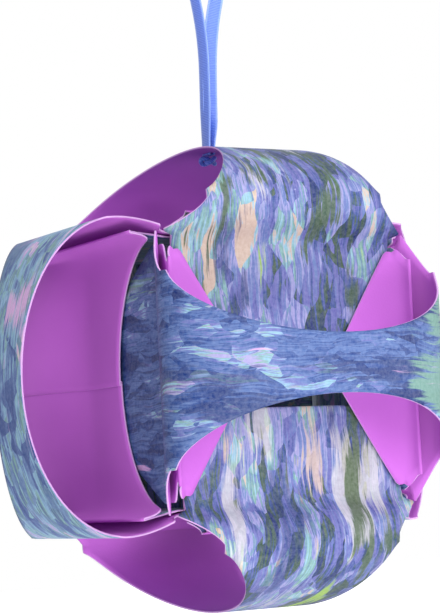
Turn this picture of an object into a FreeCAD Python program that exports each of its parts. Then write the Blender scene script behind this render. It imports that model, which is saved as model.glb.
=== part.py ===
"""Kusudama paper ball: six folded and cut sheets round a hollow middle, hung on a ribbon loop.

The frame is the ball's own: the origin is its centre, +Z is up, -Y is the front and -X the left.
Every sheet is drawn in its own axes: X runs across the band, Y along the folds and Z outwards.
From its crown a sheet runs over the shoulder and the foot into a tab that lies on the next face,
is folded back inside that tab, and ends as a flap on its own face, over the neighbours' tabs.
All sizes are in millimetres.
"""
import FreeCAD, Part
import Sketcher
import math
import os

from FreeCAD import Matrix, Placement, Vector

os.makedirs("parts", exist_ok=True)

doc = FreeCAD.newDocument("paper_ball")

# Driving dimensions

SIZES = {
    "paper": 0.35,            # thickness of the printed card
    "crown_height": 46.7,     # centre of the ball to the outside of a band
    "shoulder_height": 32.4,  # height at which a band is widest
    "band_half_width": 30.2,  # half of that width
    "shoulder_radius": 9.5,
    "foot_angle": 45.0,       # how far the band turns in under its widest place, in degrees
    "foot_radius": 3.0,       # the soft bend where the band becomes the tab
    "waist_half": 5.5,        # half of the band along the folds, at the crown
    "shoulder_half": 18.3,    # the same at its widest place
    "wide_waist_half": 14.0,  # the top and bottom bands are cut less deep on their right side
    "left_waist_half": 7.5,   # and the left band a little less on its back
    "wide_shoulder_half": 21.0,
    "tip_half": 26.6,         # the same at its four tips
    "tip_height": 26.8,
    "window_inset": 0.5,      # end of a window's curve to the widest place
    "window_dip": 0.45,       # how far the cut between shoulder and tip curves in
    "tab_end": 7.0,           # height at which the tab is folded back
    "tab_end_half": 14.4,
    "tab_root_half": 24.6,
    "tab_root_height": 23.0,
    "fold_gap": 0.3,          # air inside the folded tab
    "layer_gap": 0.3,         # air between a flap and the neighbour's tab under it
    "flap_point": 8.5,        # the face's middle to a flap's point
    "flap_root_half": 23.3,
    "flap_root_gap": 0.7,     # cut edge of a flap to the folded tab that it grows from
    "flap_slope": 0.64,       # how far its cut edges run across for each mm along
    "long_flap_edge": 7.6,    # how far a long flap reaches past the face's middle
    "long_flap_curve": 2.6,   # how far its edge has given way halfway to its root
    "seam_gap": 0.3,          # half of the seam between two long flaps
    "ribbon_width": 3.0,
    "ribbon_thick": 0.3,
    "strand_gap": 1.1,        # middle to middle of the ribbon's two strands in the slit
    "slit_clearance": 0.25,
    "loop_height": 52.0,      # crown to the top of the ribbon loop
    "loop_half_width": 6.4,
    "knot_width": 4.4,
    "knot_height": 2.2,
    "knot_round": 0.6,
    "knot_drop": 0.3,         # knot to the inside of the top band
}

table = doc.addObject("Spreadsheet::Sheet", "Sizes")
for row, (alias, amount) in enumerate(SIZES.items(), start=1):
    table.set(f"A{row}", alias)
    table.set(f"B{row}", str(amount))
    table.setAlias(f"B{row}", alias)
doc.recompute()


def value(expression):
    """What an expression of the table's sizes comes to."""
    return float(table.evalExpression(expression))


# Places that follow from the sizes, as expressions

TURN = "(Sizes.foot_angle * 1 deg)"
SHOULDER_CENTRE = "(Sizes.band_half_width - Sizes.shoulder_radius)"
FOOT_SUM = "(Sizes.shoulder_radius + Sizes.foot_radius)"
TAB_FACE = f"({SHOULDER_CENTRE} + {FOOT_SUM} * cos({TURN}) - Sizes.foot_radius)"
INNER_LAYER = f"({TAB_FACE} - Sizes.fold_gap - 2 * Sizes.paper)"
FLAP_UNDER = f"({TAB_FACE} + Sizes.layer_gap)"
FLAP_ROOT = f"({INNER_LAYER} - Sizes.flap_root_gap)"
LAYER_MIDDLE = f"({TAB_FACE} - Sizes.paper - Sizes.fold_gap / 2)"
TIP_UNDERSIDE = "(Sizes.tip_height - 3 * Sizes.paper)"
OUTSIDE = "(Sizes.band_half_width + Sizes.crown_height)"
SLIT_LONG = "(Sizes.ribbon_width + 2 * Sizes.slit_clearance)"
SLIT_SHORT = "(Sizes.strand_gap + Sizes.ribbon_thick + 2 * Sizes.slit_clearance)"
KNOT_TOP = "(Sizes.crown_height - Sizes.paper - Sizes.knot_drop)"


def half_section(flap_end):
    """One half of the folded sheet's section as a line in the middle of the paper.

    It starts at the crown and ends at the flap's cut edge.
    """
    half = value("Sizes.paper / 2")
    crown = value("Sizes.crown_height")
    shoulder = (value(SHOULDER_CENTRE), value("Sizes.shoulder_height"))
    shoulder_radius = value("Sizes.shoulder_radius")
    foot_radius = value("Sizes.foot_radius")
    foot_turn = math.radians(value("Sizes.foot_angle"))
    rise = crown - shoulder[1]
    spread = shoulder[0] ** 2 + rise ** 2 - shoulder_radius ** 2
    crown_radius = spread / (2 * (rise - shoulder_radius))
    crown_turn = math.atan2(shoulder[0], shoulder[1] - crown + crown_radius)
    edges = []

    def add_arc(centre, radius, start, end):
        turns = (start, (start + end) / 2, end)
        points = [Vector(centre[0] + radius * math.sin(turn), centre[1] + radius * math.cos(turn), 0)
                  for turn in turns]
        edges.append(Part.Arc(*points).toShape())
        return points[-1]

    def add_line(start, end):
        edges.append(Part.LineSegment(start, end).toShape())
        return end

    add_arc((0, crown - crown_radius), crown_radius - half, 0, crown_turn)
    add_arc(shoulder, shoulder_radius - half, crown_turn, math.pi / 2 + foot_turn)
    foot_reach = shoulder_radius + foot_radius
    foot_centre = (shoulder[0] + foot_reach * math.cos(foot_turn),
                   shoulder[1] - foot_reach * math.sin(foot_turn))
    place = add_arc(foot_centre, foot_radius + half, foot_turn - math.pi / 2, -math.pi / 2)

    fold_radius = value("(Sizes.fold_gap + Sizes.paper) / 2")
    fold_height = value("Sizes.tab_end") + fold_radius + half
    place = add_line(place, Vector(place.x, fold_height, 0))
    place = add_arc((place.x - fold_radius, fold_height), fold_radius, math.pi / 2, 3 * math.pi / 2)

    bend_radius = value("Sizes.paper")
    bend_height = value(FLAP_UNDER) + half - bend_radius
    place = add_line(place, Vector(place.x, bend_height, 0))
    place = add_arc((place.x - bend_radius, bend_height), bend_radius, math.pi / 2, 0)
    add_line(place, Vector(flap_end, place.y, 0))
    return edges


def sketch_on(body, role, name, height="0"):
    """A sketch on one of the body's own origin planes, raised by a height."""
    sketch = body.newObject("Sketcher::SketchObject", name)
    plane = next(item for item in body.Origin.OriginFeatures if item.Role == role)
    sketch.AttachmentSupport = [(plane, "")]
    sketch.MapMode = "FlatFace"
    if height != "0":
        sketch.setExpression("AttachmentOffset.Base.z", height)
    return sketch


def draw_face(sketch, face):
    """Copy a flat face's outline, made of arcs and straight lines, into a sketch."""
    for edge in face.Edges:
        curve = edge.Curve
        if isinstance(curve, Part.Circle):
            first, last = edge.ParameterRange
            sketch.addGeometry(Part.ArcOfCircle(curve, first, last), False)
        else:
            ends = [vertex.Point for vertex in edge.Vertexes]
            sketch.addGeometry(Part.LineSegment(ends[0], ends[1]), False)


def thicken(line, thickness):
    """The flat face that a line fills when it is as thick as the material."""
    outer = line.makeOffset2D(thickness / 2, 0, False, True)
    return outer.makeOffset2D(-thickness, 0, True, True)


def bind_point(sketch, geometry, end, across, along):
    """Hold one end of a sketch line at two expressions, measured from the sheet's axes."""
    for kind, expression in (("DistanceX", across), ("DistanceY", along)):
        amount = value(expression)
        hold = Sketcher.Constraint(kind, -1, 1, geometry, end, amount)
        index = sketch.addConstraint(hold)
        sketch.setExpression(f"Constraints[{index}]", expression)


def draw_loop(sketch, corners, closing_arc=None):
    """A closed outline whose corners are pairs of expressions.

    closing_arc is a point that the side from the last corner to the first bends through.
    """
    points = [Vector(value(across), value(along), 0) for across, along in corners]
    first = sketch.GeometryCount
    for start, end in zip(points, points[1:]):
        sketch.addGeometry(Part.LineSegment(start, end), False)
    if closing_arc is None:
        sketch.addGeometry(Part.LineSegment(points[-1], points[0]), False)
    else:
        middle = Vector(value(closing_arc[0]), value(closing_arc[1]), 0)
        sketch.addGeometry(Part.Arc(points[-1], middle, points[0]), False)
    for step in range(len(points) - 1):
        bind_point(sketch, first + step, 1, *corners[step])
    bind_point(sketch, first + len(points) - 2, 2, *corners[-1])
    return first


def cut(body, sketch, name, length, upwards=False, both_ways=False):
    """A pocket that has to remove something."""
    doc.recompute()
    before = body.Shape.Volume
    pocket = body.newObject("PartDesign::Pocket", name)
    pocket.Profile = sketch
    pocket.Reversed = upwards
    pocket.SideType = "Symmetric" if both_ways else "One side"
    pocket.setExpression("Length", length)
    doc.recompute()
    removed = before - pocket.Shape.Volume
    if removed <= 0:
        raise RuntimeError(f"{body.Label}: {name} cuts nothing")
    return removed


def minus(expression):
    return f"-({expression})"


def make_sheet(label, columns, long_flaps=False, wide_side=0, wide_waist="wide_waist_half",
               slit=False):
    """One folded sheet as a body. Columns are its across, along and outward directions.

    wide_side is 1 or -1 where the band is cut less deep on its positive or negative side along.
    """
    body = doc.addObject("PartDesign::Body", label)
    body.Label = label

    flap_end = value("Sizes.seam_gap") if long_flaps else value("Sizes.flap_point")
    half = half_section(flap_end)
    other_half = [edge.mirror(Vector(0, 0, 0), Vector(1, 0, 0)) for edge in half]
    line = Part.Wire(Part.__sortEdges__(half + other_half))
    wall_sketch = sketch_on(body, "XZ_Plane", f"{label}_section")
    draw_face(wall_sketch, thicken(line, value("Sizes.paper")))
    wall = body.newObject("PartDesign::Pad", f"{label}_wall")
    wall.Profile = wall_sketch
    wall.SideType = "Symmetric"
    wall.setExpression("Length", "2 * Sizes.tip_half")

    # Two windows leave the narrow waist over the crown
    windows = sketch_on(body, "XY_Plane", f"{label}_windows", "Sizes.shoulder_height")
    reach = value("Sizes.band_half_width - Sizes.window_inset")
    for side in (1, -1):
        wide = side == wide_side
        level = value("Sizes.wide_shoulder_half" if wide else "Sizes.shoulder_half")
        depth = level - value(f"Sizes.{wide_waist}" if wide else "Sizes.waist_half")
        ellipse = Part.Ellipse(Vector(0, side * level, 0), reach, depth)
        start = math.pi if side > 0 else 0
        windows.addGeometry(Part.ArcOfEllipse(ellipse, start, start + math.pi), False)
        outer = value(OUTSIDE)
        corners = [(reach, level), (outer, level), (outer, outer), (-outer, outer), (-outer, level),
                   (-reach, level)]
        for begin, end in zip(corners, corners[1:]):
            windows.addGeometry(Part.LineSegment(Vector(begin[0], side * begin[1], 0),
                                                 Vector(end[0], side * end[1], 0)), False)
    cut(body, windows, f"{label}_window_cut", "Sizes.crown_height - Sizes.shoulder_height", True)

    # The sides run from the shoulder out to the tips and back in along the tab
    sides = sketch_on(body, "YZ_Plane", f"{label}_sides")
    dip_height = "(Sizes.shoulder_height + Sizes.tip_height) / 2 - Sizes.window_dip"
    tab_tip = "(Sizes.tip_height - Sizes.paper)"
    lower = [("Sizes.tab_end_half", "0"), (OUTSIDE, "0"), (OUTSIDE, tab_tip),
             ("Sizes.tip_half", tab_tip), ("Sizes.tab_root_half", TIP_UNDERSIDE),
             ("Sizes.tab_root_half", "Sizes.tab_root_height"),
             ("Sizes.tab_end_half", "Sizes.tab_end")]
    for side in (1, -1):
        level = "Sizes.wide_shoulder_half" if side == wide_side else "Sizes.shoulder_half"
        dip_along = f"({level} + Sizes.tip_half) / 2 - Sizes.window_dip"
        upper = [("Sizes.tip_half", "Sizes.tip_height"), (OUTSIDE, "Sizes.tip_height"),
                 (OUTSIDE, "Sizes.shoulder_height"), (level, "Sizes.shoulder_height")]
        if side > 0:
            draw_loop(sides, upper, (dip_along, dip_height))
        else:
            draw_loop(sides, [(minus(along), height) for along, height in upper],
                      (minus(dip_along), dip_height))
    draw_loop(sides, lower)
    draw_loop(sides, [(minus(along), height) for along, height in lower])
    cut(body, sides, f"{label}_side_cut", f"2 * {OUTSIDE}", both_ways=True)

    # The layer folded back inside the tab is narrower than the tips
    layers = sketch_on(body, "XY_Plane", f"{label}_inner_layers")
    layer_half = "(Sizes.tab_root_half - Sizes.layer_gap)"
    for along_sign in (1, -1):
        corners = [(minus(LAYER_MIDDLE), layer_half), (LAYER_MIDDLE, layer_half),
                   (LAYER_MIDDLE, OUTSIDE), (minus(LAYER_MIDDLE), OUTSIDE)]
        draw_loop(layers, [(across, along if along_sign > 0 else minus(along))
                           for across, along in corners])
    cut(body, layers, f"{label}_inner_layer_cut", f"{FLAP_UNDER} + 2 * Sizes.paper", True)

    # The flaps' slanting edges
    flaps = sketch_on(body, "XY_Plane", f"{label}_flaps", f"{FLAP_UNDER} - Sizes.layer_gap / 2")
    slant = f"({FLAP_ROOT} - Sizes.flap_point) / Sizes.flap_slope"
    slant_along = f"min({slant}; Sizes.flap_root_half)"
    for across_sign in (1, -1):
        for along_sign in (1, -1):
            bend = None
            if long_flaps and along_sign > 0:
                corners = [(FLAP_ROOT, "Sizes.flap_root_half"), (FLAP_ROOT, OUTSIDE),
                           ("0", OUTSIDE), ("0", "Sizes.flap_root_half")]
            elif long_flaps:
                corners = [(FLAP_ROOT, slant_along), (FLAP_ROOT, OUTSIDE), ("0", OUTSIDE),
                           ("0", "Sizes.long_flap_edge")]
                bend = (f"{FLAP_ROOT} / 2", "Sizes.long_flap_edge + Sizes.long_flap_curve")
            else:
                corners = [(FLAP_ROOT, slant_along), (FLAP_ROOT, OUTSIDE), ("0", OUTSIDE),
                           ("0", "0"), ("Sizes.flap_point", "0")]
            signed = []
            for across, along in corners + ([bend] if bend else []):
                signed.append((across if across_sign > 0 else minus(across),
                               along if along_sign > 0 else minus(along)))
            if bend:
                draw_loop(flaps, signed[:-1], signed[-1])
            else:
                draw_loop(flaps, signed)
    cut(body, flaps, f"{label}_flap_cut", "Sizes.paper + Sizes.layer_gap", True)

    if slit:
        opening = sketch_on(body, "XY_Plane", f"{label}_slit", "Sizes.shoulder_height")
        long_half = f"{SLIT_LONG} / 2"
        short_half = f"{SLIT_SHORT} / 2"
        draw_loop(opening, [(minus(long_half), minus(short_half)), (long_half, minus(short_half)),
                            (long_half, short_half), (minus(long_half), short_half)])
        cut(body, opening, f"{label}_slit_cut", "Sizes.crown_height - Sizes.shoulder_height", True)

    across, along, outward = columns
    turn = Matrix(across[0], along[0], outward[0], 0,
                  across[1], along[1], outward[1], 0,
                  across[2], along[2], outward[2], 0,
                  0, 0, 0, 1)
    body.Placement = Placement(turn)
    return body


def make_ribbon():
    """The ribbon loop: its two strands lie side by side in the slit and part above it."""
    body = doc.addObject("PartDesign::Body", "hanging_ribbon")
    body.Label = "hanging_ribbon"
    crown = value("Sizes.crown_height")
    tall = value("Sizes.loop_height")
    wide = value("Sizes.loop_half_width")
    strand = value("Sizes.strand_gap / 2")
    right = [
        (strand, value(KNOT_TOP)),
        (strand, crown + tall * 0.22),
        (strand + wide * 0.03, crown + tall * 0.44),
        (strand + wide * 0.32, crown + tall * 0.64),
        (wide, crown + tall * 0.84),
        (wide * 0.72, crown + tall * 0.97),
    ]
    top = [(0, crown + tall * 1.012)]
    left = [(-across, height) for across, height in reversed(right)]
    route = [Vector(across, height, 0) for across, height in right + top + left]
    edges = []
    begin = route[0]
    for before, corner, after in zip(route, route[1:], route[2:]):
        arriving = (corner - before).normalize()
        leaving = (after - corner).normalize()
        turn = arriving.getAngle(leaving)
        trim = 0.45 * min(before.distanceToPoint(corner), corner.distanceToPoint(after))
        radius = trim / math.tan(turn / 2)
        print(f"ribbon bend {math.degrees(turn):.1f} degrees, radius {radius:.1f} mm")
        start = corner - arriving * trim
        end = corner + leaving * trim
        bisector = (leaving - arriving).normalize()
        centre = corner + bisector * math.hypot(radius, trim)
        middle = centre - bisector * radius
        edges.append(Part.LineSegment(begin, start).toShape())
        edges.append(Part.Arc(start, middle, end).toShape())
        begin = end
    edges.append(Part.LineSegment(begin, route[-1]).toShape())
    line = Part.Wire(edges)
    print(f"ribbon length {line.Length:.1f} mm")
    sketch = sketch_on(body, "XZ_Plane", "ribbon_section")
    draw_face(sketch, thicken(line, value("Sizes.ribbon_thick")))
    pad = body.newObject("PartDesign::Pad", "ribbon_width")
    pad.Profile = sketch
    pad.SideType = "Symmetric"
    pad.setExpression("Length", "Sizes.ribbon_width")
    doc.recompute()
    expected = line.Length * value("Sizes.ribbon_thick * Sizes.ribbon_width")
    print(f"ribbon volume {pad.Shape.Volume:.2f}, section times length {expected:.2f}")
    return body


def make_knot():
    """The knot of the ribbon's two ends, under the top sheet's slit."""
    body = doc.addObject("PartDesign::Body", "ribbon_knot")
    body.Label = "ribbon_knot"
    sketch = sketch_on(body, "XY_Plane", "knot_outline", f"{KNOT_TOP} - Sizes.knot_height")
    half = "Sizes.knot_width / 2"
    draw_loop(sketch, [(minus(half), minus(half)), (half, minus(half)), (half, half),
                       (minus(half), half)])
    pad = body.newObject("PartDesign::Pad", "knot_block")
    pad.Profile = sketch
    pad.setExpression("Length", "Sizes.knot_height")
    doc.recompute()
    upright = [f"Edge{index}" for index, edge in enumerate(pad.Shape.Edges, start=1)
               if abs(edge.tangentAt(edge.FirstParameter).z) > math.cos(math.pi / 4)]
    low = pad.Shape.BoundBox.ZMin
    lower = [f"Edge{index}" for index, edge in enumerate(pad.Shape.Edges, start=1)
             if abs(edge.BoundBox.ZMax - low) < value("Sizes.knot_round")]
    rounding = body.newObject("PartDesign::Fillet", "knot_rounding")
    rounding.Base = (pad, upright + lower)
    rounding.setExpression("Radius", "Sizes.knot_round")
    doc.recompute()
    return body


RIGHT, LEFT = (1, 0, 0), (-1, 0, 0)
BACK, FRONT = (0, 1, 0), (0, -1, 0)
UP, DOWN = (0, 0, 1), (0, 0, -1)

bodies = [
    make_sheet("front_sheet", (RIGHT, UP, FRONT)),
    make_sheet("back_sheet", (LEFT, UP, BACK)),
    make_sheet("left_sheet", (UP, BACK, LEFT), long_flaps=True, wide_side=1,
               wide_waist="left_waist_half"),
    make_sheet("right_sheet", (DOWN, BACK, RIGHT), long_flaps=True),
    make_sheet("top_sheet", (BACK, LEFT, UP), wide_side=-1, slit=True),
    make_sheet("bottom_sheet", (BACK, RIGHT, DOWN), wide_side=1),
    make_ribbon(),
    make_knot(),
]
doc.recompute()

for item in doc.Objects:
    if "Invalid" in item.State or "Error" in item.State:
        raise RuntimeError(f"{item.Name} failed: {item.State}")
for body in bodies:
    shape = body.Shape
    if shape.isNull() or not shape.isValid() or len(shape.Solids) != 1:
        raise RuntimeError(f"{body.Label} is not one valid solid: {len(shape.Solids)}")
    box = shape.BoundBox
    print(f"{body.Label}: volume {shape.Volume:.1f} mm3, "
          f"x {box.XMin:.2f} to {box.XMax:.2f}, y {box.YMin:.2f} to {box.YMax:.2f}, "
          f"z {box.ZMin:.2f} to {box.ZMax:.2f}")
for body in bodies:
    body.Shape.exportStep(os.path.join("parts", body.Label + ".step"))
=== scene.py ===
# %% [markdown]
# A kusudama paper ball, hung on a ribbon.
# Six printed sheets are cut with curved sides, rolled into bands and tucked into each other.
# Every sheet is one thin strip, so this lesson makes one mesh a sheet from two simple drawings:
# the strip's section, and how wide the strip is at each place along that section.

# %% Load the frame
import bpy
import math
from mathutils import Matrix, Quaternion, Vector


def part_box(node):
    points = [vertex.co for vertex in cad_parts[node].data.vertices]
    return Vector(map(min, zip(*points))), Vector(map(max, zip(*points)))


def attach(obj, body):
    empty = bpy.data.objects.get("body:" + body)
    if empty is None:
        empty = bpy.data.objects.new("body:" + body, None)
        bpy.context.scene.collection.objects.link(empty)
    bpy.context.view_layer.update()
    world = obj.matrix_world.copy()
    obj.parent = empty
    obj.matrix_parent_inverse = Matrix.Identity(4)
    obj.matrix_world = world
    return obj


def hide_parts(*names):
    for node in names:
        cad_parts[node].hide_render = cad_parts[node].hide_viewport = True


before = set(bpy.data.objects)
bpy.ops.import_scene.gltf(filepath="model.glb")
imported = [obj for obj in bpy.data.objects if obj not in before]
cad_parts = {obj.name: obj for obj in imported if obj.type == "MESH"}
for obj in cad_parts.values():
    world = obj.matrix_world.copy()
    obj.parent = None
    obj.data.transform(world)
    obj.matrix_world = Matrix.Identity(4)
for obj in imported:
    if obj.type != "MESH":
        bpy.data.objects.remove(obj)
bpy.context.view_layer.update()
print("nodes:", sorted(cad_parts))

# %% [markdown]
# The sizes are the real ones in metres. A sheet is drawn in its own axes: across the band,
# along the folds, and outwards from the middle of the ball.

# %% Sizes of a folded sheet
MM = 0.001
PAPER = 0.35 * MM
LAYER_STEP = 0.3 * MM      # how much narrower the inner layer is than the tab on each side
CROWN = 46.7 * MM
SHOULDER_HEIGHT = 32.4 * MM
BAND_HALF = 30.2 * MM
RISE = CROWN - SHOULDER_HEIGHT
WAIST_HALF = 5.6 * MM
SHOULDER_HALF = 18.3 * MM
WINDOW_INSET = 0.3 * MM
WIDE_WAIST_HALF = 14.0 * MM
LEFT_WAIST_HALF = 7.5 * MM
WIDE_SHOULDER_HALF = 21.0 * MM
TIP_HALF = 26.5 * MM
TIP_HEIGHT = 26.8 * MM
TAB_FACE = 26.54 * MM
TAB_TOP = 23.6 * MM
TAB_END = 7.0 * MM
TAB_END_HALF = 14.4 * MM
TAB_ROOT_HALF = 24.5 * MM
FOLD_RADIUS = 0.34 * MM
FLAP_HEIGHT = 27.05 * MM
ROLL_START = 24.0 * MM
ROLL_NARROWS = 25.6 * MM
ROLL_TOP = 30.0 * MM
FLAP_LIFT = 0.3 * MM
FLAP_POINT = 8.5 * MM
FLAP_ROOT_HALF = 23.3 * MM
FLAP_SLOPE = 0.64
LONG_FLAP_EDGE = 8.6 * MM
LONG_FLAP_RISE = 7.5 * MM
LONG_FLAP_OVERLAP = 1.2 * MM
SEAM = 0.35 * MM

# %% [markdown]
# The camera stands a little below the ball's middle and to the left of the front band.
# The ball in the photograph leans a few degrees on its ribbon, so the camera is rolled by as much.
# A small shift puts the ball low in the frame, where the ribbon has room above it.

# %% Camera
IMAGE = (440, 615)                # width and height of the picture, in pixels
BALL_PLACE = (220.5, 380.0)       # where the middle of the ball lies in it
SCALE_LENGTH = 27.5 * MM          # a length at the ball's middle
SCALE_PIXELS = 135.0              # and the pixels that it spans
DISTANCE = 412.5 * MM
SENSOR = 36.0
TO_THE_LEFT = math.radians(30)
BELOW = math.radians(3)
ROLL = math.radians(-3.0)

frame_height = SCALE_LENGTH * IMAGE[1] / SCALE_PIXELS
towards = Vector((-math.sin(TO_THE_LEFT), -math.cos(TO_THE_LEFT), -math.tan(BELOW)))
towards.normalize()
camera_data = bpy.data.cameras.new("camera")
camera = bpy.data.objects.new("camera", camera_data)
bpy.context.collection.objects.link(camera)
camera_data.sensor_width = SENSOR
camera_data.lens = SENSOR * DISTANCE / frame_height
camera_data.shift_y = (BALL_PLACE[1] - IMAGE[1] / 2) / IMAGE[1]
camera_data.shift_x = -(BALL_PLACE[0] - IMAGE[0] / 2) / IMAGE[1]
camera.location = towards * DISTANCE
aim = (-towards).to_track_quat("-Z", "Y")
camera.rotation_mode = "QUATERNION"
camera.rotation_quaternion = aim @ Quaternion((0, 0, 1), ROLL)
camera_data.clip_start = 0.01
bpy.context.scene.camera = camera
print("lens", round(camera_data.lens, 1), "mm")

# %% [markdown]
# A node tree is easier to read when each line makes one node and joins what feeds it.
# This small helper does that: named inputs are either values or the outputs of other nodes.

# %% A helper for material nodes


def add_node(tree, kind, settings=None, **inputs):
    """Make a node, set its options and join or fill its inputs."""
    node = tree.nodes.new(kind)
    for name, option in (settings or {}).items():
        setattr(node, name, option)
    for name, source in inputs.items():
        key = int(name[1:]) if name[0] == "i" and name[1:].isdigit() else name.replace("_", " ")
        socket = node.inputs[key]
        if isinstance(source, bpy.types.NodeSocket):
            tree.links.new(source, socket)
        else:
            socket.default_value = source
    return node


def colour(red, green, blue):
    """A colour as it looks on a screen, 0 to 255, as the linear value that a shader takes."""
    linear = []
    for part in (red, green, blue):
        share = part / 255.0
        linear.append(share / 12.92 if share <= 0.04045 else ((share + 0.055) / 1.055) ** 2.4)
    return (*linear, 1.0)


def new_material(name):
    """An empty material with its shader."""
    material = bpy.data.materials.new(name)
    material.use_nodes = True
    tree = material.node_tree
    shader = tree.nodes["Principled BSDF"]
    return material, tree, shader


def fill_ramp(ramp, stops):
    """Give a colour ramp its stops: pairs of a place and a colour."""
    ramp.interpolation = "LINEAR"
    while len(ramp.elements) > 1:
        ramp.elements.remove(ramp.elements[-1])
    ramp.elements[0].position = stops[0][0]
    ramp.elements[0].color = stops[0][1]
    for place, tint in stops[1:]:
        ramp.elements.new(place).color = tint


# %% [markdown]
# The printed side looks brushed: short dabs of blue, violet, green and cream lie over each other.
# They are made from noise alone, so the design is a new one. Two stretched Voronoi patterns give
# each dab its own random number, a wide soft noise says which family of colours rules there, and
# fine streaks stand for the hairs of the brush. Their sum picks a colour from a ramp.

# %% Printed paper

NAVY = colour(44, 56, 102)
DEEP = colour(58, 78, 132)
STEEL = colour(90, 112, 160)
VIOLET = colour(104, 102, 160)
LILAC = colour(150, 144, 188)
CREAM = colour(196, 192, 184)
PINK = colour(206, 160, 206)
SAGE = colour(112, 148, 136)
OLIVE = colour(70, 88, 64)
CYAN = colour(134, 172, 196)
LEAF = colour(140, 172, 70)
PEACH = colour(182, 162, 150)

WATER = [(0.0, NAVY), (0.30, DEEP), (0.46, STEEL), (0.58, DEEP), (0.70, STEEL), (0.80, VIOLET),
         (0.88, CYAN), (0.95, SAGE), (1.0, LILAC)]
REEDS = [(0.0, NAVY), (0.20, OLIVE), (0.28, DEEP), (0.44, VIOLET), (0.55, STEEL), (0.66, LILAC),
         (0.74, STEEL), (0.84, SAGE), (0.95, CYAN), (1.0, PEACH)]
SHALLOWS = [(0.0, DEEP), (0.24, STEEL), (0.38, CYAN), (0.50, SAGE), (0.60, STEEL), (0.72, CYAN),
            (0.84, LILAC), (0.94, PINK), (1.0, CREAM)]


def dabs(tree, place, stretch, size, bend, seed):
    """Random dabs: a value for each dab and how far a point lies from its middle."""
    shifted = add_node(tree, "ShaderNodeVectorMath", {"operation": "ADD"}, i0=place,
                       i1=(seed, seed * 0.7, seed * 0.3))
    wander = add_node(tree, "ShaderNodeTexNoise", None, Vector=shifted.outputs[0],
                      Scale=size * 0.35, Detail=2.0)
    centred = add_node(tree, "ShaderNodeVectorMath", {"operation": "SUBTRACT"},
                       i0=wander.outputs["Color"], i1=(0.5, 0.5, 0.5))
    moved = add_node(tree, "ShaderNodeVectorMath", {"operation": "MULTIPLY_ADD"},
                     i0=centred.outputs[0], i1=(bend, bend, bend), i2=shifted.outputs[0])
    longer = add_node(tree, "ShaderNodeVectorMath", {"operation": "MULTIPLY"}, i0=moved.outputs[0],
                      i1=stretch)
    cells = add_node(tree, "ShaderNodeTexVoronoi", {"feature": "F1"}, Vector=longer.outputs[0],
                     Scale=size)
    parts = add_node(tree, "ShaderNodeSeparateColor", None, Color=cells.outputs["Color"])
    return parts.outputs[0], cells.outputs["Distance"]


def hairs(tree, place, stretch, size, seed):
    """Fine streaks, as the hairs of a brush leave them, drawn out along the dabs."""
    thin = tuple(part * factor for part, factor in zip(stretch, (0.3, 3.4, 1.0)))
    wander = add_node(tree, "ShaderNodeTexNoise", None, Vector=place, Scale=6.0, Detail=2.0)
    moved = add_node(tree, "ShaderNodeVectorMath", {"operation": "MULTIPLY_ADD"},
                     i0=wander.outputs["Color"], i1=(0.05, 0.05, 0.05), i2=place)
    longer = add_node(tree, "ShaderNodeVectorMath", {"operation": "MULTIPLY_ADD"},
                      i0=moved.outputs[0], i1=thin, i2=(seed, seed, seed))
    streaks = add_node(tree, "ShaderNodeTexNoise", None, Vector=longer.outputs[0], Scale=size,
                       Detail=5.0, Roughness=0.65)
    return streaks.outputs[0]


def overlay(tree, under, tint, amount):
    """Lay one colour over another where amount says so."""
    mix = add_node(tree, "ShaderNodeMix", {"data_type": "RGBA"}, Factor=amount)
    tree.links.new(under, mix.inputs[6])
    mix.inputs[7].default_value = tint
    return mix.outputs[2]


def patch(tree, source, low, high, most=1.0):
    """Where a value lies above a level, with a soft border."""
    ranged = add_node(tree, "ShaderNodeMapRange", None, Value=source, From_Min=low, From_Max=high,
                      To_Max=most)
    return ranged.outputs[0]


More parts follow.
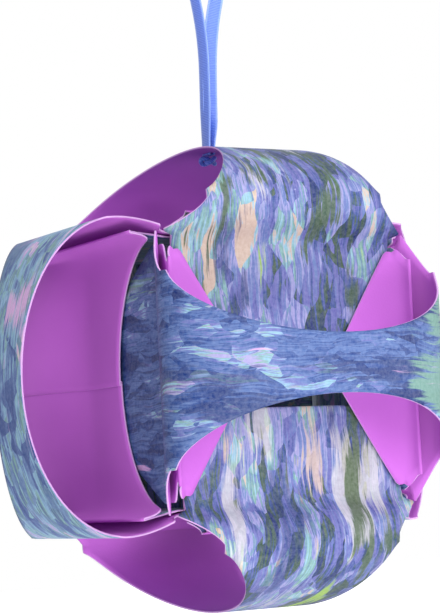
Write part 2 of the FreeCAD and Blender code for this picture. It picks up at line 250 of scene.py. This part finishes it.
def printed_paper(name, seed, palette, stretch, accents):
    """Slightly glossy card with a brushed design. stretch is the dabs' shape along the strip."""
    material, tree, shader = new_material(name)
    sheet_place = add_node(tree, "ShaderNodeUVMap", {"uv_map": "sheet"}).outputs[0]
    region = add_node(tree, "ShaderNodeTexNoise", {"noise_dimensions": "4D"}, Vector=sheet_place,
                      W=seed, Scale=3.0, Detail=4.0, Roughness=0.6, Distortion=0.5)
    dab, _ = dabs(tree, sheet_place, stretch, 17.0, 0.12, seed)
    fine, middle = dabs(tree, sheet_place, stretch, 38.0, 0.05, seed + 3.0)
    streaks = hairs(tree, sheet_place, stretch, 30.0, seed)
    total = region.outputs[0]
    for source, weight in ((dab, 0.30), (fine, 0.26), (streaks, 0.62)):
        total = add_node(tree, "ShaderNodeMath", {"operation": "MULTIPLY_ADD"},
                         i0=source, i1=weight, i2=total).outputs[0]
    spread = add_node(tree, "ShaderNodeMapRange", None, Value=total, From_Min=0.82, From_Max=1.36)
    painted = add_node(tree, "ShaderNodeValToRGB", None, Fac=spread.outputs[0])
    fill_ramp(painted.color_ramp, palette)
    tint = painted.outputs[0]

    # A few accents in long strokes lie over the ground colours
    for number, (accent, size, level, most) in enumerate(accents):
        strokes = add_node(tree, "ShaderNodeTexNoise", {"noise_dimensions": "4D"},
                           W=seed + number * 4.7, Scale=size, Detail=3.0, Roughness=0.5,
                           Distortion=0.4)
        drawn = add_node(tree, "ShaderNodeVectorMath", {"operation": "MULTIPLY"}, i0=sheet_place,
                         i1=stretch)
        tree.links.new(drawn.outputs[0], strokes.inputs["Vector"])
        broken = add_node(tree, "ShaderNodeMath", {"operation": "MULTIPLY_ADD"},
                          i0=streaks, i1=0.35, i2=strokes.outputs[0])
        amount = patch(tree, broken.outputs[0], level, level + 0.035, most)
        tint = overlay(tree, tint, accent, amount)
    grain = add_node(tree, "ShaderNodeTexNoise", None, Vector=sheet_place, Scale=120.0, Detail=4.0,
                     Roughness=0.7)
    tone = add_node(tree, "ShaderNodeMapRange", None, Value=grain.outputs[0], From_Min=0.25,
                    From_Max=0.75, To_Min=-0.05, To_Max=0.05)
    toned = add_node(tree, "ShaderNodeBrightContrast", None, Color=tint, Bright=tone.outputs[0])
    tree.links.new(toned.outputs[0], shader.inputs["Base Color"])
    ridge = add_node(tree, "ShaderNodeMath", {"operation": "ADD"}, i0=middle, i1=streaks)
    bump = add_node(tree, "ShaderNodeBump", None, Height=ridge.outputs[0], Strength=0.12,
                    Distance=0.0003)
    tree.links.new(bump.outputs[0], shader.inputs["Normal"])
    shader.inputs["Roughness"].default_value = 0.48
    shader.inputs["Specular IOR Level"].default_value = 0.3
    return material


# %% [markdown]
# The other side of the sheet is plain orchid card, and the cut edge shows the pale core.
# Both are matt. A faint fibre noise keeps them from looking like plastic.

# %% Plain side, cut edge and ribbon


def plain_paper(name, light, deep, strength):
    """Matt dyed card with a slight cloudiness and fibres."""
    material, tree, shader = new_material(name)
    place = add_node(tree, "ShaderNodeTexCoord").outputs["Object"]
    cloud = add_node(tree, "ShaderNodeTexNoise", None, Vector=place, Scale=60.0, Detail=3.0)
    mixed = add_node(tree, "ShaderNodeMix", {"data_type": "RGBA"}, Factor=cloud.outputs[0])
    mixed.inputs[6].default_value = deep
    mixed.inputs[7].default_value = light
    tree.links.new(mixed.outputs[2], shader.inputs["Base Color"])
    fibre = add_node(tree, "ShaderNodeTexNoise", None, Vector=place, Scale=2600.0, Detail=4.0)
    bump = add_node(tree, "ShaderNodeBump", None, Height=fibre.outputs[0], Strength=strength,
                    Distance=0.0001)
    tree.links.new(bump.outputs[0], shader.inputs["Normal"])
    shader.inputs["Roughness"].default_value = 0.82
    shader.inputs["Specular IOR Level"].default_value = 0.25
    return material


ORCHID = plain_paper("orchid_card", colour(188, 104, 200), colour(174, 90, 188), 0.25)
CUT_EDGE = plain_paper("cut_edge", colour(204, 160, 212), colour(188, 142, 200), 0.1)


def satin(name):
    """Woven satin ribbon: fine cross ribs, a corded edge and a soft sheen."""
    material, tree, shader = new_material(name)
    place = add_node(tree, "ShaderNodeUVMap", {"uv_map": "ribbon"}).outputs[0]
    ribs = add_node(tree, "ShaderNodeTexWave", {"bands_direction": "X"}, Vector=place, Scale=900.0,
                    Distortion=0.6)
    parts = add_node(tree, "ShaderNodeSeparateXYZ", None, Vector=place)
    from_middle = add_node(tree, "ShaderNodeMath", {"operation": "ABSOLUTE"}, i0=parts.outputs[1])
    edge = add_node(tree, "ShaderNodeMapRange", None, Value=from_middle.outputs[0],
                    From_Min=1.05 * MM, From_Max=1.25 * MM)
    tint = add_node(tree, "ShaderNodeMix", {"data_type": "RGBA"}, Factor=ribs.outputs[0])
    tint.inputs[6].default_value = colour(70, 102, 204)
    tint.inputs[7].default_value = colour(104, 136, 226)
    trimmed = add_node(tree, "ShaderNodeMix", {"data_type": "RGBA"}, Factor=edge.outputs[0])
    tree.links.new(tint.outputs[2], trimmed.inputs[6])
    trimmed.inputs[7].default_value = colour(128, 156, 232)
    tree.links.new(trimmed.outputs[2], shader.inputs["Base Color"])
    bump = add_node(tree, "ShaderNodeBump", None, Height=ribs.outputs[0], Strength=0.35,
                    Distance=0.0001)
    tree.links.new(bump.outputs[0], shader.inputs["Normal"])
    shader.inputs["Roughness"].default_value = 0.38
    shader.inputs["Sheen Weight"].default_value = 0.3
    return material


SATIN = satin("ribbon_satin")

# %% [markdown]
# The section is the line that the strip follows, seen from its end: over the crown, round the
# shoulder, in under the band, down the tab, back up inside it and out along the flap.
# Each point carries the strip's half-width there, because the cut sides follow the same line.

# %% The folded section


def band_half(across, outward, waist, shoulder):
    """Half-width of the band: a curved window over the crown, then out to the tip."""
    if outward >= SHOULDER_HEIGHT:
        share = min(abs(across) / (BAND_HALF - WINDOW_INSET), 1.0)
        return shoulder - (shoulder - waist) * math.sqrt(max(0.0, 1 - share * share))
    fall = (SHOULDER_HEIGHT - outward) / (SHOULDER_HEIGHT - TIP_HEIGHT)
    return shoulder + (TIP_HALF - shoulder) * (0.55 * fall + 0.45 * fall ** 2)


def ease(share):
    """A smooth step from 0 to 1."""
    share = min(max(share, 0.0), 1.0)
    return share * share * (3 - 2 * share)


def half_section(flap_end, lift):
    """Points from the crown to the flap's edge: across, outward, half-width, stretch of paper."""
    points = []
    steps = 34

    # Over the crown and round the shoulder
    last_turn = math.asin((TIP_HEIGHT - SHOULDER_HEIGHT) / RISE)
    for step in range(steps + 1):
        turn = math.pi / 2 + (last_turn - math.pi / 2) * step / steps
        across = BAND_HALF * math.cos(turn)
        outward = SHOULDER_HEIGHT + RISE * math.sin(turn)
        points.append((across, outward, None, "band"))

    # The soft bend at the foot, where the band becomes the tab
    start = Vector(points[-1][:2])
    corner = Vector((TAB_FACE + 0.05 * MM, TIP_HEIGHT - 1.35 * MM))
    end = Vector((TAB_FACE - PAPER / 2, TAB_TOP))
    for step in range(1, 9):
        share = step / 8
        place = start * (1 - share) ** 2 + corner * (2 * share * (1 - share)) + end * share ** 2
        narrowing = ease((TIP_HEIGHT - 0.2 * MM - place.y) / (1.0 * MM))
        points.append((place.x, place.y, TIP_HALF + (TAB_ROOT_HALF - TIP_HALF) * narrowing, "foot"))

    # Down the tab, round its fold and up again as the inner layer
    low = TAB_END + FOLD_RADIUS + PAPER / 2
    for step in range(1, 13):
        outward = TAB_TOP + (low - TAB_TOP) * step / 12
        points.append((TAB_FACE - PAPER / 2, outward, tab_half(outward), "tab"))
    fold_middle = TAB_FACE - PAPER / 2 - FOLD_RADIUS
    for step in range(1, 7):
        turn = math.pi * step / 6
        points.append((fold_middle + FOLD_RADIUS * math.cos(turn),
                       low - FOLD_RADIUS * math.sin(turn), TAB_END_HALF, "fold"))
    inner = fold_middle - FOLD_RADIUS
    for step in range(1, 11):
        outward = low + (ROLL_START - low) * step / 10
        points.append((inner, outward, tab_half(outward) - LAYER_STEP * step / 10, "layer"))

    # The rolled root of the flap: up, over and down onto the face
    rolled = [Vector((inner, ROLL_START)), Vector((inner + 0.1 * MM, ROLL_START + 2.6 * MM)),
              Vector((inner + 1.35 * MM, ROLL_TOP - 1.4 * MM)),
              Vector((inner + 1.55 * MM, ROLL_TOP))]
    for step in range(1, 9):
        place = bezier(rolled, step / 8)
        narrower = 3.9 * MM * ease((place.y - ROLL_NARROWS) / (ROLL_TOP - ROLL_NARROWS))
        points.append((place.x, place.y, TAB_ROOT_HALF - LAYER_STEP - narrower, "layer"))
    top = rolled[-1]
    for step in range(1, 7):
        turn = math.pi * step / 6
        points.append((top.x - PAPER * 0.6 * (1 - math.cos(turn)),
                       top.y + PAPER * 0.6 * math.sin(turn), None, "flap"))
    fall = Vector((top.x - PAPER * 1.2, top.y))
    curve = [fall, Vector((fall.x - 0.5 * MM, FLAP_HEIGHT + 0.4 * MM)),
             Vector((fall.x - 2.4 * MM, FLAP_HEIGHT)), Vector((fall.x - 8.0 * MM, FLAP_HEIGHT))]
    for step in range(1, 17):
        place = bezier(curve, step / 16)
        points.append((place.x, place.y, None, "flap"))

    # Along the flap, which lifts a little towards its edge
    root = curve[-1]
    for step in range(1, 21):
        share = step / 20
        points.append((root.x + (flap_end - root.x) * share, FLAP_HEIGHT + lift * ease(share),
                       None, "flap"))
    return points


def bezier(corners, share):
    """A point on the cubic curve with these four corners."""
    rest = 1 - share
    return (corners[0] * rest ** 3 + corners[1] * (3 * rest * rest * share)
            + corners[2] * (3 * rest * share * share) + corners[3] * share ** 3)


def tab_half(outward):
    """The tab narrows towards its folded end."""
    share = (outward - TAB_END) / (23.0 * MM - TAB_END)
    return TAB_END_HALF + (TAB_ROOT_HALF - TAB_END_HALF) * min(max(share, 0.0), 1.0)


def flap_half(across, outward, shape):
    """Half-width of a flap: pointed, square, or cut back in a hollow curve."""
    reach = abs(across)
    full = TAB_ROOT_HALF - LAYER_STEP - 1.0 * MM * ease((25.6 * MM - reach) / (0.9 * MM))
    full -= 2.9 * MM * ease((outward - FLAP_HEIGHT) / (ROLL_TOP - FLAP_HEIGHT))
    if shape == "square":
        return full
    if shape == "hollow":
        share = min(reach / (25.0 * MM), 1.0)
        curved = LONG_FLAP_EDGE + (FLAP_ROOT_HALF + 1.0 * MM - LONG_FLAP_EDGE) * (
            1 - math.sqrt(max(0.0, 1 - share ** 2.1)))
        return min(full, curved)
    return min(full, max((reach - FLAP_POINT) / FLAP_SLOPE, 0.12 * MM))


# %% [markdown]
# Two half sections, one mirrored, make the whole strip. The mesh is a plain grid: one row of
# points for each place on the section, spread from one cut side to the other.
# Solidify then gives it the card's thickness, the orchid side and the pale cut edge in one go.

# %% One sheet as a mesh

COLUMNS = 20
UV_PER_METRE = 10


def make_sheet(node, across_axis, along_axis, outward_axis, print_material, long_flaps=False,
               wide_side=0, wide_waist=WIDE_WAIST_HALF):
    """The folded sheet that stands for a node of the frame."""
    flap_end = SEAM if long_flaps else FLAP_POINT + 0.1 * MM
    right = half_section(-LONG_FLAP_OVERLAP if long_flaps else flap_end, FLAP_LIFT)
    left = [(-across, outward, half, part) for across, outward, half, part
            in reversed(half_section(flap_end, 0.0 if long_flaps else FLAP_LIFT)[1:])]
    section = left + right
    vertices, uvs, faces = [], [], []
    length = 0.0
    before = None
    axes = [Vector(axis) for axis in (across_axis, along_axis, outward_axis)]
    for across, outward, half, part in section:
        here = Vector((across, outward))
        length += (here - before).length if before else 0.0
        before = here
        if part == "flap":
            back_half = flap_half(across, outward, "square" if long_flaps else "point")
            front_half = flap_half(across, outward, "hollow" if long_flaps else "point")
        elif part == "band":
            back_half, front_half = (
                band_half(across, outward, wide_waist, WIDE_SHOULDER_HALF) if side == wide_side
                else band_half(across, outward, WAIST_HALF, SHOULDER_HALF) for side in (1, -1))
        else:
            back_half = front_half = half
        for column in range(COLUMNS + 1):
            share = column / COLUMNS
            along = -front_half + (front_half + back_half) * share
            raised = outward
            if long_flaps and part == "flap" and outward < SHOULDER_HEIGHT:
                near_root = min(abs(across) / (25.5 * MM), 1.0) ** 4
                raised += LONG_FLAP_RISE * ease((along - 3 * MM) / (21 * MM)) * (1 - near_root)
            vertices.append(axes[0] * across + axes[1] * along + axes[2] * raised)
            uvs.append((length * UV_PER_METRE, along * UV_PER_METRE))
    rows = len(section)
    for row in range(rows - 1):
        for column in range(COLUMNS):
            first = row * (COLUMNS + 1) + column
            faces.append((first, first + 1, first + COLUMNS + 2, first + COLUMNS + 1))
    mesh = bpy.data.meshes.new(node + "_paper")
    mesh.from_pydata(vertices, [], faces)
    layer = mesh.uv_layers.new(name="sheet")
    for loop in mesh.loops:
        layer.data[loop.index].uv = uvs[loop.vertex_index]
    middle = mesh.polygons[(rows // 2) * COLUMNS + COLUMNS // 2]
    if middle.normal.dot(axes[2]) < 0:
        mesh.flip_normals()
    mesh.polygons.foreach_set("use_smooth", [True] * len(mesh.polygons))
    for material in (print_material, ORCHID, CUT_EDGE):
        mesh.materials.append(material)
    piece = bpy.data.objects.new(node + "_paper", mesh)
    bpy.context.collection.objects.link(piece)
    thick = piece.modifiers.new("card", "SOLIDIFY")
    thick.thickness = PAPER
    thick.offset = 0.0
    thick.material_offset = 1
    thick.material_offset_rim = 2
    thick.use_even_offset = False
    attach(piece, "root")
    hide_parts(node)
    print(node, "strip", round(length / MM), "mm long,", len(mesh.polygons), "faces")
    return piece


# %% [markdown]
# Each sheet gets its own part of the print. The dabs run along every strip. They are finest on
# the front, back and right sheets, shortest on the left one and broadest on the top and bottom.

# %% The six sheets
FINE_DABS = (0.45, 1.6, 1.0)
SHORT_DABS = (0.5, 1.2, 1.0)
BROAD_DABS = (0.38, 1.25, 1.0)

front_print = printed_paper("front_print", 2.0, WATER, FINE_DABS,
                            [(NAVY, 6.0, 0.72, 0.75), (SAGE, 4.0, 0.76, 0.9),
                             (PINK, 7.0, 0.84, 0.8)])
back_print = printed_paper("back_print", 5.0, REEDS, FINE_DABS,
                           [(CREAM, 8.0, 0.82, 0.8), (OLIVE, 9.0, 0.82, 0.8)])
left_print = printed_paper("left_print", 7.0, SHALLOWS, SHORT_DABS,
                           [(DEEP, 6.0, 0.76, 0.7), (PINK, 5.0, 0.78, 0.9), (LEAF, 4.5, 0.83, 0.8)])
right_print = printed_paper("right_print", 11.0, SHALLOWS, FINE_DABS,
                            [(SAGE, 6.0, 0.82, 0.8), (PINK, 8.0, 0.84, 0.8)])
top_print = printed_paper("top_print", 13.0, REEDS, BROAD_DABS,
                          [(NAVY, 8.0, 0.74, 0.7), (CREAM, 8.0, 0.77, 0.55),
                           (OLIVE, 9.0, 0.755, 0.9), (LEAF, 8.0, 0.85, 0.85)])
bottom_print = printed_paper("bottom_print", 16.0, REEDS, BROAD_DABS,
                             [(NAVY, 8.0, 0.74, 0.6), (CREAM, 7.0, 0.77, 0.55),
                              (OLIVE, 8.0, 0.75, 0.9), (LEAF, 7.0, 0.82, 0.9),
                              (PEACH, 9.0, 0.83, 0.8)])

RIGHT, LEFT = (1, 0, 0), (-1, 0, 0)
BACK, FRONT = (0, 1, 0), (0, -1, 0)
UP, DOWN = (0, 0, 1), (0, 0, -1)
make_sheet("front_sheet", RIGHT, UP, FRONT, front_print)
make_sheet("back_sheet", LEFT, UP, BACK, back_print)
make_sheet("left_sheet", UP, BACK, LEFT, left_print, long_flaps=True, wide_side=1,
           wide_waist=LEFT_WAIST_HALF)
make_sheet("right_sheet", DOWN, BACK, RIGHT, right_print, long_flaps=True)
make_sheet("top_sheet", BACK, LEFT, UP, top_print, wide_side=-1)
make_sheet("bottom_sheet", BACK, RIGHT, DOWN, bottom_print, wide_side=1)

# %% [markdown]
# The ribbon is one flat strip: up from the knot through the slit, round a loop and down again.
# It hangs plumb while the ball leans, so its points move sideways as they rise.
# A smooth curve through the points gives the line, and a thin strip is swept along it.

# %% Ribbon loop
RIBBON_WIDTH = 3.0 * MM
RIBBON_THICK = 0.3 * MM
LOOP_HEIGHT = 52 * MM
LEAN = math.tan(math.radians(2.4))
LEAN_TAKEN = 0.87                         # the share of the lean that the ribbon follows
RISING_TWIST = math.radians(74)
FALLING_TWIST = math.radians(12)
TWIST_IN = 0.2                            # shares of the loop's height: twisted by here,
TWIST_OUT = 0.55                          # untwisting from here
TWIST_OUT_RUN = 0.35                      # over this much


def route_point(across, height):
    """A point of the ribbon's route, in metres, leaning with its height above the crown."""
    sideways = max(0.0, height * MM - CROWN) * LEAN * LEAN_TAKEN
    return Vector((across * MM + sideways, 0.0, height * MM))


ROUTE = [route_point(*point) for point in (
    (0.55, 46.05), (0.55, 58.1), (0.74, 69.6), (2.6, 80.0), (6.0, 90.4), (4.4, 97.0), (0.0, 98.9),
    (-4.4, 97.0), (-6.0, 90.4), (-2.6, 80.0), (-0.74, 69.6), (-0.55, 58.1), (-0.55, 46.05))]


def smooth_line(points, name):
    """Read back the points of a NURBS curve with these control points."""
    curve = bpy.data.curves.new(name, "CURVE")
    curve.dimensions = "3D"
    curve.resolution_u = 14
    spline = curve.splines.new("NURBS")
    spline.points.add(len(points) - 1)
    for point, place in zip(spline.points, points):
        point.co = (*place, 1.0)
    spline.order_u = 3
    spline.use_endpoint_u = True
    holder = bpy.data.objects.new(name, curve)
    mesh = bpy.data.meshes.new_from_object(holder)
    line = [vertex.co.copy() for vertex in mesh.vertices]
    bpy.data.objects.remove(holder)
    bpy.data.meshes.remove(mesh)
    return line


line = smooth_line(ROUTE, "ribbon_line")
ribbon_length = sum((b - a).length for a, b in zip(line, line[1:]))

vertices, uvs, faces = [], [], []
travelled = 0.0
for index, place in enumerate(line):
    ahead = line[min(index + 1, len(line) - 1)]
    behind = line[max(index - 1, 0)]
    direction = (ahead - behind).normalized()
    travelled += (place - line[index - 1]).length if index else 0.0
    share = travelled / ribbon_length
    wide = Vector((0, 1, 0))
    height = max(0.0, place.z - CROWN) / LOOP_HEIGHT
    most = RISING_TWIST if share < 0.5 else -FALLING_TWIST
    twist = most * ease(height / TWIST_IN) * (1 - ease((height - TWIST_OUT) / TWIST_OUT_RUN))
    wide.rotate(Quaternion(direction, twist))
    thick = direction.cross(wide).normalized()
    for wide_share, thick_share in ((-0.5, -0.5), (0.5, -0.5), (0.5, 0.5), (-0.5, 0.5)):
        vertices.append(place + wide * (wide_share * RIBBON_WIDTH)
                        + thick * (thick_share * RIBBON_THICK))
        uvs.append((travelled, wide_share * RIBBON_WIDTH))
for row in range(len(line) - 1):
    for corner in range(4):
        following = (corner + 1) % 4
        faces.append((row * 4 + corner, row * 4 + following,
                      row * 4 + 4 + following, row * 4 + 4 + corner))
faces.append((3, 2, 1, 0))
end = (len(line) - 1) * 4
faces.append((end, end + 1, end + 2, end + 3))
mesh = bpy.data.meshes.new("ribbon")
mesh.from_pydata(vertices, [], faces)
layer = mesh.uv_layers.new(name="ribbon")
for loop in mesh.loops:
    layer.data[loop.index].uv = uvs[loop.vertex_index]
mesh.polygons.foreach_set("use_smooth", [True] * len(mesh.polygons))
mesh.materials.append(SATIN)
ribbon = bpy.data.objects.new("ribbon", mesh)
bpy.context.collection.objects.link(ribbon)
soft = ribbon.modifiers.new("woven_edge", "BEVEL")
soft.width = 0.06 * MM
soft.segments = 2
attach(ribbon, "root")
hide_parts("hanging_ribbon")
print("ribbon", round(ribbon_length / MM, 1), "mm")

# %% [markdown]
# The knot sits out of sight under the top band. It is a simple overhand knot: a ribbon that
# follows a trefoil, the shape that every overhand knot takes when it is pulled up.

# %% Knot under the band
KNOT_STRAND = 0.5 * MM
KNOT_LOOP = 0.55 * MM
KNOT_RISE = 0.5 * MM
KNOT_POINTS = 72

knot_low, knot_high = (Vector(corner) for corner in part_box("ribbon_knot"))
knot_curve = bpy.data.curves.new("knot_line", "CURVE")
knot_curve.dimensions = "3D"
knot_curve.bevel_depth = KNOT_STRAND
knot_curve.bevel_resolution = 3
loop_spline = knot_curve.splines.new("POLY")
loop_spline.points.add(KNOT_POINTS - 1)
knot_middle = (knot_low + knot_high) / 2
for index, point in enumerate(loop_spline.points):
    turn = 2 * math.pi * index / KNOT_POINTS
    point.co = (knot_middle.x + KNOT_LOOP * (math.sin(turn) + 2 * math.sin(2 * turn)),
                knot_middle.y + KNOT_LOOP * (math.cos(turn) - 2 * math.cos(2 * turn)),
                knot_middle.z - KNOT_RISE * math.sin(3 * turn), 1.0)
loop_spline.use_cyclic_u = True
knot_holder = bpy.data.objects.new("knot_holder", knot_curve)
knot_mesh = bpy.data.meshes.new_from_object(knot_holder)
bpy.data.objects.remove(knot_holder)
knot_layer = knot_mesh.uv_layers.new(name="ribbon")
for loop in knot_mesh.loops:
    place = knot_mesh.vertices[loop.vertex_index].co
    knot_layer.data[loop.index].uv = (place.x * 0.7 + place.z * 0.7, place.y * 0.3)
knot_mesh.materials.clear()
knot_mesh.materials.append(SATIN)
knot = bpy.data.objects.new("knot", knot_mesh)
bpy.context.collection.objects.link(knot)
knot_mesh.polygons.foreach_set("use_smooth", [True] * len(knot_mesh.polygons))
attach(knot, "root")
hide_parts("ribbon_knot")

# %% [markdown]
# The ball hangs in a white room: a pale floor far below, a world that is white to the camera,
# and four big soft lamps. The key lamp stands in front, the others light the right side, the
# underside and the top.

# %% Floor, world and lamps
FLOOR = -800 * MM

floor_material, floor_tree, floor_shader = new_material("floor")
floor_shader.inputs["Base Color"].default_value = (0.9, 0.9, 0.9, 1)
floor_shader.inputs["Roughness"].default_value = 0.9
seen_floor = add_node(floor_tree, "ShaderNodeLightPath")
glow = add_node(floor_tree, "ShaderNodeEmission", None, Color=(1, 1, 1, 1))
lift_floor = add_node(floor_tree, "ShaderNodeMath", {"operation": "MULTIPLY"},
                      i0=seen_floor.outputs["Is Camera Ray"], i1=0.66)
floor_tree.links.new(lift_floor.outputs[0], glow.inputs["Strength"])
both = add_node(floor_tree, "ShaderNodeAddShader", None, i0=floor_shader.outputs[0],
                i1=glow.outputs[0])
floor_tree.links.new(both.outputs[0], floor_tree.nodes["Material Output"].inputs["Surface"])
bpy.ops.mesh.primitive_plane_add(size=30.0, location=(0, 0, FLOOR))
floor = bpy.context.object
floor.name = "floor"
floor.data.materials.append(floor_material)

world = bpy.data.worlds.new("studio")
bpy.context.scene.world = world
world.use_nodes = True
world_tree = world.node_tree
world_tree.nodes.clear()
path = add_node(world_tree, "ShaderNodeLightPath")
soft_light = add_node(world_tree, "ShaderNodeBackground", None, Color=(0.95, 0.96, 1.0, 1),
                      Strength=0.72)
white = add_node(world_tree, "ShaderNodeBackground", None, Color=(1, 1, 1, 1), Strength=1.0)
blend = add_node(world_tree, "ShaderNodeMixShader", None, i0=path.outputs["Is Camera Ray"],
                 i1=soft_light.outputs[0], i2=white.outputs[0])
add_node(world_tree, "ShaderNodeOutputWorld", None, Surface=blend.outputs[0])


def add_lamp(name, place, size, power):
    """A square soft lamp that faces the ball."""
    data = bpy.data.lights.new(name, "AREA")
    data.size = size
    data.energy = power
    lamp = bpy.data.objects.new(name, data)
    bpy.context.collection.objects.link(lamp)
    lamp.location = place
    lamp.rotation_mode = "QUATERNION"
    lamp.rotation_quaternion = (-Vector(place)).to_track_quat("-Z", "Y")


add_lamp("key", (-0.05, -1.1, 0.35), 0.7, 6.5)
add_lamp("fill", (0.85, -0.7, 0.2), 0.8, 4.0)
add_lamp("low", (-0.15, -0.65, -0.65), 0.6, 8.0)
add_lamp("high", (-0.1, -0.45, 0.95), 0.6, 5.0)
bpy.context.scene.view_settings.view_transform = "Standard"
